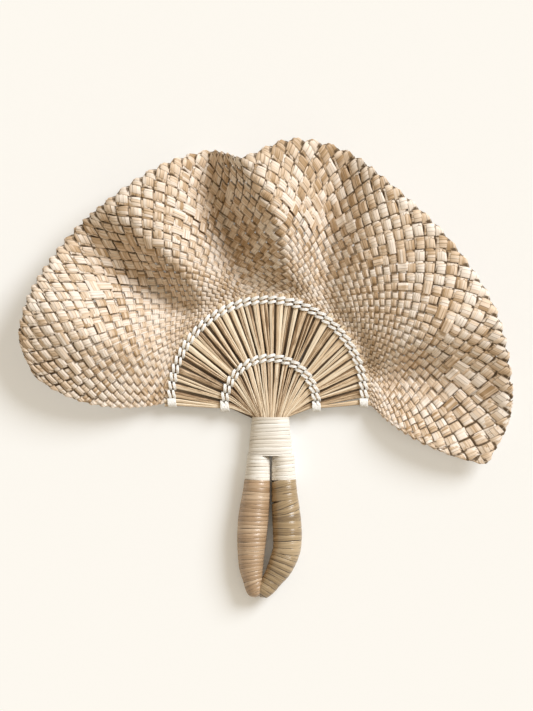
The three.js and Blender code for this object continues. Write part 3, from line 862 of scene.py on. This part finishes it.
def straight_line(stations, count):
    """Straight runs between stations, with slightly eased corners."""
    stations = np.asarray(stations, float)
    strides = np.linalg.norm(np.diff(stations[:, :3], axis=0), axis=1)
    length = np.concatenate([[0], np.cumsum(strides)])
    wanted = np.linspace(0, length[-1], count)
    line = np.stack([np.interp(wanted, length, column) for column in stations.T], 1)
    for _ in range(2):
        line[1:-1] = (line[:-2] + 2 * line[1:-1] + line[2:]) / 4
    return line


def gathered_height(lean):
    """How far a stalk lies over the neck's middle, or a butt under it."""
    return GATHER_HALF_DEPTH * math.sqrt(max(1 - GATHER_ROUNDNESS * lean * lean, 0))


def stalk_line(number):
    """Middle line of a stalk from inside the neck to under the blade: x, y, z, spread, girth."""
    angle = stalk_angles()[number]
    lean = math.cos(angle)
    top = FAN_HEIGHT + gathered_height(lean)
    paired = paired_angle(number, 34)
    return straight_line([
        [GATHER_HALF_WIDTHS[1] * lean, -24, top, 0.5, 0.6],
        [GATHER_HALF_WIDTHS[0] * lean, -9.4, top, 0.6, 0.47],
        [*on_circle((0, 0), INNER_BAND_RADIUS - ROW_PITCH, paired), 1.15, 0.61],
        [*on_circle((0, 0), INNER_BAND_RADIUS + ROW_PITCH, paired), 1.25, 0.74],
        [*on_circle(OUTER_BAND_CENTRE, OUTER_BAND_RADIUS - ROW_PITCH, angle), 2.7, 1.37],
        [*on_circle(OUTER_BAND_CENTRE, BLADE_START + 2, angle), 2.75, 1.3],
    ], 48)


def butt_line(number):
    """Middle line of a butt that runs under the stalks into the neck."""
    lean = math.cos(stalk_angles()[number])
    low = FAN_HEIGHT - gathered_height(lean)
    return straight_line([
        [GATHER_HALF_WIDTHS[2] * lean, -37, low, 0.6, 0.6],
        [GATHER_HALF_WIDTHS[0] * lean, -9.5, low, 0.7, 0.65],
        [*on_circle((0, 0), 31, paired_angle(number, 31), FAN_HEIGHT - 1.8), 1.2, 0.75],
    ], 28)


def straw_guide(name, lines):
    """Mesh of lines that straws follow, from their x, y, z, spread and girth."""
    return line_mesh(
        name + "_line", [in_frame(line[:, :3]) for line in lines],
        across=[across_of(line[:, :3]) for line in lines],
        spread=[line[:, 3] * MM for line in lines], girth=[line[:, 4] for line in lines],
    )


def cord_line(centre, radius, stitches, first, step, first_over):
    """One cord of a twined row: its points, radial direction and opening."""
    places = np.arange(-0.5 * STITCH_STEPS, (stitches - 0.5) * STITCH_STEPS + 1) / STITCH_STEPS
    angle = first + step * places
    side = 1 if first_over else -1
    beat = np.cos(np.pi * places) * side
    reach = radius - CORD_SWAY * np.sin(np.pi * places) * side
    points = np.stack([
        centre[0] + reach * np.cos(angle),
        centre[1] + reach * np.sin(angle),
        FAN_HEIGHT + CORD_RISE * np.sign(beat) * np.abs(beat) ** CORD_FULLNESS,
    ], 1)
    radial = np.stack([np.cos(angle), np.sin(angle), 0 * angle], 1)
    return points, radial, CORD_WIDTH * (CORD_PINCH + (1 - CORD_PINCH) * np.abs(beat))


def tie_line(centre, radius, angle, reach):
    """Coil of cord round the edge stalk at a band's end, as a cord's line."""
    turns = np.linspace(0, TIE_TURNS, 80)
    along = np.array([math.cos(angle), math.sin(angle), 0])
    aside = np.array([-math.sin(angle), math.cos(angle), 0])
    middle = np.array(on_circle(centre, radius, angle))
    out = (turns / TIE_TURNS - 0.5)[:, None] * 2 * reach * along
    round_aside = TIE_HALF_SIZE[0] * np.cos(2 * np.pi * turns)[:, None] * aside
    round_up = TIE_HALF_SIZE[1] * np.sin(2 * np.pi * turns)[:, None] * np.array([0, 0, 1])
    points = middle + out + round_aside + round_up
    return points, np.repeat(along[None], len(turns), 0), np.full(len(turns), 0.5)


def leg_line(leg, tip, top, bottom=-math.inf, count=200):
    """Middle line of a leg between two places along Y: x, y, z and outside radius."""
    start = leg[0] + (leg[0] - leg[1]) * 0.1
    height = leg[:, 2].max() * HANDLE_LENGTH - 0.5
    leg = np.vstack([start, leg[leg[:, 1] < tip[0, 1] - 0.02], tip])
    across, down, radius = leg.T * HANDLE_LENGTH
    points = np.stack([across, LEG_TOP_Y - down, np.full(len(leg), height), radius], 1)
    fine = even_line(points, 2400)
    fine = fine[(fine[:, 1] < top) & (fine[:, 1] > bottom)]
    return fine[np.linspace(0, len(fine) - 1, count).astype(int)]


def tint(name, description, *shares):
    """Setting for a colour, from its red, green and blue."""
    return bpy.props.FloatVectorProperty(
        name=name, description=description, default=(*shares, 1), subtype="COLOR", size=4)


def metres(name, description, default):
    """Setting for a length in metres."""
    return bpy.props.FloatProperty(name=name, description=description, default=default, unit="LENGTH")


def plain(name, description, default, least=0.0):
    """Setting for a plain number."""
    return bpy.props.FloatProperty(name=name, description=description, default=default, min=least)


def whole(name, description, default, least=1):
    """Setting for a whole number."""
    return bpy.props.IntProperty(name=name, description=description, default=default, min=least)


class BladeSettings(bpy.types.PropertyGroup):
    """Plaited blade."""

    across: whole("Strands across", "Strands of one family along the rim", 58, 12)
    out: plain("Rows out", "Crossings from the band to the rim, and a half", 14.5)
    width: plain("Strand width", "Half of a strand as a share of its place", 0.455)
    depth: metres("Strand depth", "Thickness of a strand", 0.0009)
    lift: metres("Lift", "Rise of a strand over its crossings", 0.0012)
    crown: metres("Crown", "Drop from a strand's middle to its edges", 0.0003)
    bump: plain("Rim bump", "Rounding of each fold at the rim", 0.14)
    turn_back: plain("Turn back", "Rows that a folded end lies back over the weave", 3.6)
    growth: plain("Growth", "Height of a row at the rim for one at the band", 2.0, 1.01)
    pale: tint("Pale straw", "Lightest straws", 0.93, 0.825, 0.725)
    warm: tint("Warm straw", "Common straws", 0.79, 0.615, 0.45)
    dark: tint("Dark straw", "Stained straws", 0.46, 0.3, 0.16)


class StalkSettings(bpy.types.PropertyGroup):
    """Stalks between the bands."""

    straws: whole("Straws", "Straws side by side in each split stalk", 2)
    gauge: metres("Straw radius", "Radius of one straw", 0.001)
    pale: tint("Pale straw", "Lightest straws", 0.93, 0.79, 0.6)
    warm: tint("Warm straw", "Common straws", 0.76, 0.57, 0.375)
    dark: tint("Dark straw", "Stained straws", 0.24, 0.14, 0.065)


class TwineSettings(bpy.types.PropertyGroup):
    """White cotton twine of the two bands."""

    threads: whole("Threads", "Threads side by side in each cord", 3)
    gauge: metres("Thread radius", "Radius of one thread", 0.00045)
    pale: tint("White", "Clean cotton", 0.99, 0.985, 0.97)
    # The grey is painted shade in the hollows between plies.
    dark: tint("Grey", "Cotton in the hollows of its plies", 0.9, 0.885, 0.85)


class CreamSettings(bpy.types.PropertyGroup):
    """Cream wrapping of the neck and the collars."""

    depth: metres("Strip depth", "Thickness of the strip", 0.0008)
    pale: tint("Pale", "Clean strip", 0.915, 0.885, 0.835)
    warm: tint("Warm", "Common strip", 0.85, 0.79, 0.705)
    dark: tint("Dark", "Soiled strip", 0.6, 0.48, 0.34)


class TanSettings(bpy.types.PropertyGroup):
    """Tan leaf strip of the left leg."""

    depth: metres("Strip depth", "Thickness of the strip", 0.0008)
    pale: tint("Pale", "Rubbed strip", 0.62, 0.46, 0.31)
    warm: tint("Warm", "Common strip", 0.48, 0.32, 0.19)
    dark: tint("Dark", "Soiled strip", 0.26, 0.16, 0.08)


class OliveSettings(bpy.types.PropertyGroup):
    """Olive brown leaf strip of the right leg."""

    depth: metres("Strip depth", "Thickness of the strip", 0.0008)
    pale: tint("Pale", "Rubbed strip", 0.5, 0.37, 0.22)
    warm: tint("Warm", "Common strip", 0.36, 0.25, 0.13)
    dark: tint("Dark", "Soiled strip", 0.16, 0.1, 0.045)


class StageSettings(bpy.types.PropertyGroup):
    """Floor, light and camera."""

    floor: tint("Floor", "Colour of the floor", 0.97, 0.985, 1)
    backdrop: tint("Backdrop", "Colour seen past the floor", 0.98, 0.955, 0.895)
    room: tint("Room", "Colour of the light from all round", 1, 0.83, 0.58)
    daylight: tint("Daylight", "Colour of the soft key light", 0.935, 0.965, 1)
    shade: tint("Shade", "Colour that the floor keeps in the shadow", 0.98, 0.93, 0.845)
    key: plain("Key", "Strength of the soft key light", 3.33)
    fill: plain("Fill", "Strength of the light from all round", 0.43)
    glow: plain("Glow", "Share of the floor's seen colour that shadows don't darken", 0.4)
    view_height: metres("View height", "Height of the picture at the fan", 0.53325)
    distance: metres("Distance", "Height of the camera over the fan", 4.0)


class FAN_OT_weave_blade(bpy.types.Operator):
    """Plaits the pleated blade from two families of straw strands"""

    bl_idname = "fan.weave_blade"
    bl_label = "Weave blade"

    def execute(self, context):
        look = context.scene.fan_blade
        material = straw_material(
            "plaited_straw", look, straws=3.0, stretch=0.55, variety=1.3, groove=0.45, edge=0.2)
        tree = shared_tree("bias_weave", weave_tree)
        first = 1 - math.floor(look.out)
        half = (look.across - first) // 2
        runs = (("left", first, half), ("right", first + half, look.across - first - half))
        for family, side, seed in (("rising", 1.0, 11), ("falling", -1.0, 47)):
            for end, start, strands in runs:
                name = "blade_strands_{}_{}".format(family, end)
                piece = grow(
                    name, sheet_mesh(name + "_sheet"), tree, strands=strands, first=float(start),
                    across=float(look.across), out=look.out, width=look.width, depth=look.depth,
                    lift=look.lift, crown=look.crown, bump=look.bump, turn_back=look.turn_back,
                    growth=look.growth, side=side, seed=seed + start, material=material,
                )
                settle(piece, "woven_blade")
        return {"FINISHED"}


class FAN_OT_bundle_stalks(bpy.types.Operator):
    """Lays a few straws along each stalk, and the butts under them"""

    bl_idname = "fan.bundle_stalks"
    bl_label = "Bundle stalks"

    def execute(self, context):
        look = context.scene.fan_stalk
        material = straw_material(
            "stalk_straw", look, straws=2.0, stretch=1.1, variety=1.6, groove=0.45, edge=0.85)
        tree = shared_tree("side_by_side", bundle_tree)
        for place in range(STALK_COUNT):
            name = "stalk_{:02d}".format(place + 1)
            split = place % 3 == 1
            inside = 0 < place < STALK_COUNT - 1
            piece = grow(
                name + "_straws", straw_guide(name, [stalk_line(place)]), tree,
                count=look.straws if split else 1, layers=2 if inside else 1, drop=0.0017,
                gauge=look.gauge * (1.0 if split else 1.9), flatness=0.7 if split else 0.38, sides=8,
                rise=0.0014, wander=0.0008, seed=100 + place, material=material,
            )
            settle(piece, name)
        lines = [butt_line(place) for place in range(STALK_COUNT)]
        piece = grow(
            "gathered_straws", straw_guide("gathered", lines), tree, count=2, layers=1, drop=0.0,
            gauge=look.gauge, flatness=0.7, sides=8, rise=0.002, wander=0.001, seed=300,
            material=material,
        )
        settle(piece, "gathered_butts")
        for node in ("left_core", "right_core"):
            frame["nodes"][node].data.materials.clear()
            frame["nodes"][node].data.materials.append(material)
        return {"FINISHED"}


class FAN_OT_twine_bands(bpy.types.Operator):
    """Twines two rows of cord round the stalks at each band, tied off at the ends"""

    bl_idname = "fan.twine_bands"
    bl_label = "Twine bands"

    def execute(self, context):
        look = context.scene.fan_twine
        values = {"Pale": tuple(look.pale), "Dark": tuple(look.dark), "Plies": 9.0}
        material = surface(
            "cotton_twine", shared_tree("spun_thread", thread_group), values,
            relief=0.0004, strength=0.5, specular=0.2, sheen=0.15)
        tree = shared_tree("side_by_side", bundle_tree)
        angles = stalk_angles()
        step = angles[1] - angles[0]
        bands = {
            "outer": (OUTER_BAND_CENTRE, OUTER_BAND_RADIUS, STALK_COUNT, angles[0], step),
            "inner": ((0, 0), INNER_BAND_RADIUS, STALK_COUNT // 2, angles[0] + step / 2, 2 * step),
        }
        for band, (centre, radius, stitches, first, gap) in bands.items():
            for row, side in ((1, -1), (2, 1)):
                for cord in "ab":
                    name = "{}_twine_{}{}".format(band, row, cord)
                    at = radius + side * ROW_PITCH / 2
                    parts = [cord_line(centre, at, stitches, first, gap, cord == "a")]
                    if cord == "a":
                        end = angles[0] if row == 1 else angles[-1]
                        parts.append(tie_line(centre, radius, end, ROW_PITCH * 0.75))
                    mesh = line_mesh(
                        name + "_line", [in_frame(part[0]) for part in parts],
                        across=[part[1] for part in parts],
                        spread=[part[2] * MM for part in parts],
                        girth=[np.ones(len(part[0])) for part in parts],
                    )
                    piece = grow(
                        name + "_threads", mesh, tree, count=look.threads, layers=1, drop=0.0,
                        gauge=look.gauge, flatness=0.6, sides=6, rise=0.0003, wander=0.0003,
                        seed=500 + len(name) + row, material=material,
                    )
                    settle(piece, name)
        return {"FINISHED"}


def wrap_piece(node, line, look, material, turns, seed, tilt, lap=0.00013):
    """Winds a strip along a line and lets it stand for a CAD wrapping."""
    wide = (line[:, 3] - UNDER_STRIP) * MM
    deep = (line[:, 4] - UNDER_STRIP) * MM if line.shape[1] > 4 else wide
    mesh = line_mesh(
        node + "_line", [in_frame(line[:, :3])], across=[across_of(line[:, :3])],
        wide=[wide], deep=[deep],
    )
    piece = grow(
        node + "_strip", mesh, shared_tree("wound_strip", winding_tree), turns=float(turns),
        steps=int((turns + 2) * TURN_STEPS), width=1.3, depth=look.depth, lap=lap, ragged=1.0,
        tilt=tilt, seed=seed, material=material,
    )
    settle(piece, node)


class FAN_OT_wrap_neck(bpy.types.Operator):
    """Winds the cream strip round the neck and the two collars"""

    bl_idname = "fan.wrap_neck"
    bl_label = "Wrap neck"

    def execute(self, context):
        look = context.scene.fan_cream
        material = straw_material(
            "cream_strip", look, straws=2.0, stretch=0.5, variety=0.6, groove=0.2, edge=0.12,
            gloss=0.05, relief=0.0003, specular=0.45, seams=0.75)
        share = np.linspace(0, 1, 60)
        neck = np.stack([
            0 * share,
            NECK_TOP_Y + (NECK_BOTTOM_Y - NECK_OVERHANG - NECK_TOP_Y) * share,
            np.full(60, FAN_HEIGHT),
            (NECK_WIDTHS[0] + (NECK_WIDTHS[1] - NECK_WIDTHS[0]) * share) / 2,
            (NECK_DEPTHS[0] + (NECK_DEPTHS[1] - NECK_DEPTHS[0]) * share) / 2,
        ], 1)
        left = leg_line(LEFT_LEG, LEFT_TIP, NECK_BOTTOM_Y, COLLAR_BOTTOM_Y)
        right = leg_line(RIGHT_LEG, RIGHT_TIP, NECK_BOTTOM_Y, COLLAR_BOTTOM_Y)
        wraps = (
            ("neck_wrap", neck, 10, 3, 0.8),
            ("left_collar_wrap", left, 7, 5, 0.6),
            ("right_collar_wrap", right, 7, 8, 0.6),
        )
        for node, line, turns, seed, tilt in wraps:
            wrap_piece(node, line, look, material, turns, seed, tilt, lap=0.00006)
        return {"FINISHED"}


class FAN_OT_wrap_grips(bpy.types.Operator):
    """Winds the leaf strips round the two legs and the end of the loop"""

    bl_idname = "fan.wrap_grips"
    bl_label = "Wrap grips"

    def execute(self, context):
        tan = context.scene.fan_tan
        olive = context.scene.fan_olive
        leaf = {"straws": 3.0, "stretch": 0.6, "gloss": 0.2, "relief": 0.0002, "specular": 0.7}
        tan_leaf = straw_material(
            "tan_leaf", tan, variety=0.8, groove=0.35, edge=0.3, seams=0.9, **leaf)
        olive_leaf = straw_material(
            "olive_leaf", olive, variety=0.95, groove=0.45, edge=0.5, seams=1.0, **leaf)
        below = COLLAR_BOTTOM_Y + 0.1
        left = leg_line(LEFT_LEG, LEFT_TIP, below)
        right = leg_line(RIGHT_LEG, RIGHT_TIP, below, LOOP_BEND_Y)
        end = leg_line(RIGHT_LEG, RIGHT_TIP, LOOP_BEND_Y)
        wrap_piece(
            "left_grip_wrap", left, tan, tan_leaf, turns=28, seed=13, tilt=1.2, lap=0.0001)
        wrap_piece(
            "right_grip_wrap", right, olive, olive_leaf, turns=11, seed=17, tilt=2.2)
        wrap_piece(
            "loop_end_wrap", end, olive, olive_leaf, turns=9, seed=19, tilt=1.0)
        return {"FINISHED"}


class FAN_OT_set_stage(bpy.types.Operator):
    """Lays a pale floor, sets a soft light from the upper right and looks straight down"""

    bl_idname = "fan.set_stage"
    bl_label = "Set stage"

    def execute(self, context):
        scene = context.scene
        look = scene.fan_stage
        scene.view_settings.view_transform = "Standard"
        self.lay_floor(look)
        self.light(scene, look)
        self.look_down(scene, look)
        return {"FINISHED"}

    def lay_floor(self, look):
        """Wide pale floor just under the fan, with painted light that lifts its shadows where the camera
        sees it.
        """
        mesh = bpy.data.meshes.new("floor")
        corners = [(-1, -1), (1, -1), (1, 1), (-1, 1)]
        points = [(x * FLOOR_REACH, y * FLOOR_REACH, FLOOR_HEIGHT) for x, y in corners]
        mesh.from_pydata(points, [], [(0, 1, 2, 3)])
        material = bpy.data.materials.new("floor_paper")
        g = blank_graph(material)
        path = g.node("ShaderNodeLightPath")
        paper = g.node("ShaderNodeBsdfDiffuse", {"Color": tuple(look.floor)})
        # Painted light: where the camera sees the floor, a share of it glows in the shade colour and so
        # lifts its shadows, except close under the fan where ambient occlusion keeps them dark.
        glow = g.node("ShaderNodeEmission", {"Color": tuple(look.shade), "Strength": 1.0})
        near = g.node("ShaderNodeAmbientOcclusion", {"Distance": NEAR_SHADOW})
        share = Field(g, path.outputs["Is Camera Ray"]) * Field(g, near.outputs["AO"]) * look.glow
        mixed = g.node("ShaderNodeMixShader", {0: share, 1: paper.outputs[0], 2: glow.outputs[0]})
        g.node("ShaderNodeOutputMaterial", {"Surface": mixed.outputs[0]})
        mesh.materials.append(material)
        floor = placed("floor", mesh)

    def light(self, scene, look):
        """Soft sun from the upper right, and an even light from all round."""
        lamp = bpy.data.lights.new("key", "SUN")
        lamp.energy = look.key
        lamp.angle = math.radians(SUN_WIDTH)
        lamp.color = look.daylight[:3]
        key = placed("key", lamp)
        key.rotation_euler = [math.radians(angle) for angle in SUN_TILT]
        world = bpy.data.worlds.new("pale_room")
        g = blank_graph(world)
        path = g.node("ShaderNodeLightPath")
        seen = path.outputs["Is Camera Ray"]
        for ray in ("Is Glossy Ray", "Is Transmission Ray"):
            seen = g.math("MAXIMUM", seen, path.outputs[ray])
        room = g.node("ShaderNodeBackground", {"Color": tuple(look.room), "Strength": look.fill})
        backdrop = g.node("ShaderNodeBackground", {"Color": tuple(look.backdrop), "Strength": 1.0})
        mixed = g.node("ShaderNodeMixShader", {0: seen, 1: room.outputs[0], 2: backdrop.outputs[0]})
        g.node("ShaderNodeOutputWorld", {"Surface": mixed.outputs[0]})
        scene.world = world

    def look_down(self, scene, look):
        """Camera straight above, turned so that the handle points down the picture."""
        data = bpy.data.cameras.new("camera")
        data.sensor_width = SENSOR_WIDTH
        data.lens = SENSOR_WIDTH * look.distance / look.view_height
        data.clip_end = 100
        camera = placed("camera", data)
        camera.location = in_frame(VIEW_MIDDLE) + (0, 0, look.distance)
        scene.camera = camera


class FAN_PT_looks(bpy.types.Panel):
    """Sizes, colours and building steps of the fan"""

    bl_idname = "FAN_PT_looks"
    bl_label = "Woven hand fan"
    bl_space_type = "VIEW_3D"
    bl_region_type = "UI"
    bl_category = "Fan"

    def draw(self, context):
        for label, settings, operators in STEPS:
            box = self.layout.box()
            box.label(text=label)
            group = getattr(context.scene, settings)
            for key in group.__annotations__:
                box.prop(group, key)
            for operator in operators:
                box.operator(operator)


SETTINGS = {
    "fan_blade": BladeSettings,
    "fan_stalk": StalkSettings,
    "fan_twine": TwineSettings,
    "fan_cream": CreamSettings,
    "fan_tan": TanSettings,
    "fan_olive": OliveSettings,
    "fan_stage": StageSettings,
}
STEPS = (
    ("Blade", "fan_blade", ("fan.weave_blade",)),
    ("Stalks", "fan_stalk", ("fan.bundle_stalks",)),
    ("Bands", "fan_twine", ("fan.twine_bands",)),
    ("Neck", "fan_cream", ("fan.wrap_neck",)),
    ("Left grip", "fan_tan", ()),
    ("Right grip", "fan_olive", ("fan.wrap_grips",)),
    ("Stage", "fan_stage", ("fan.set_stage",)),
)
OPERATORS = (
    FAN_OT_weave_blade, FAN_OT_bundle_stalks, FAN_OT_twine_bands, FAN_OT_wrap_neck,
    FAN_OT_wrap_grips, FAN_OT_set_stage,
)


def register():
    """Adds the settings, operators and panel."""
    for kind in (*SETTINGS.values(), *OPERATORS, FAN_PT_looks):
        bpy.utils.register_class(kind)
    for name, kind in SETTINGS.items():
        setattr(bpy.types.Scene, name, bpy.props.PointerProperty(type=kind))


def unregister():
    """Takes the settings, operators and panel away."""
    for name in SETTINGS:
        delattr(bpy.types.Scene, name)
    for kind in reversed((*SETTINGS.values(), *OPERATORS, FAN_PT_looks)):
        bpy.utils.unregister_class(kind)


def main():
    """Builds every piece and the stage."""
    register()
    bpy.ops.fan.weave_blade()
    bpy.ops.fan.bundle_stalks()
    bpy.ops.fan.twine_bands()
    bpy.ops.fan.wrap_neck()
    bpy.ops.fan.wrap_grips()
    bpy.ops.fan.set_stage()


if __name__ == "__main__":
    main()
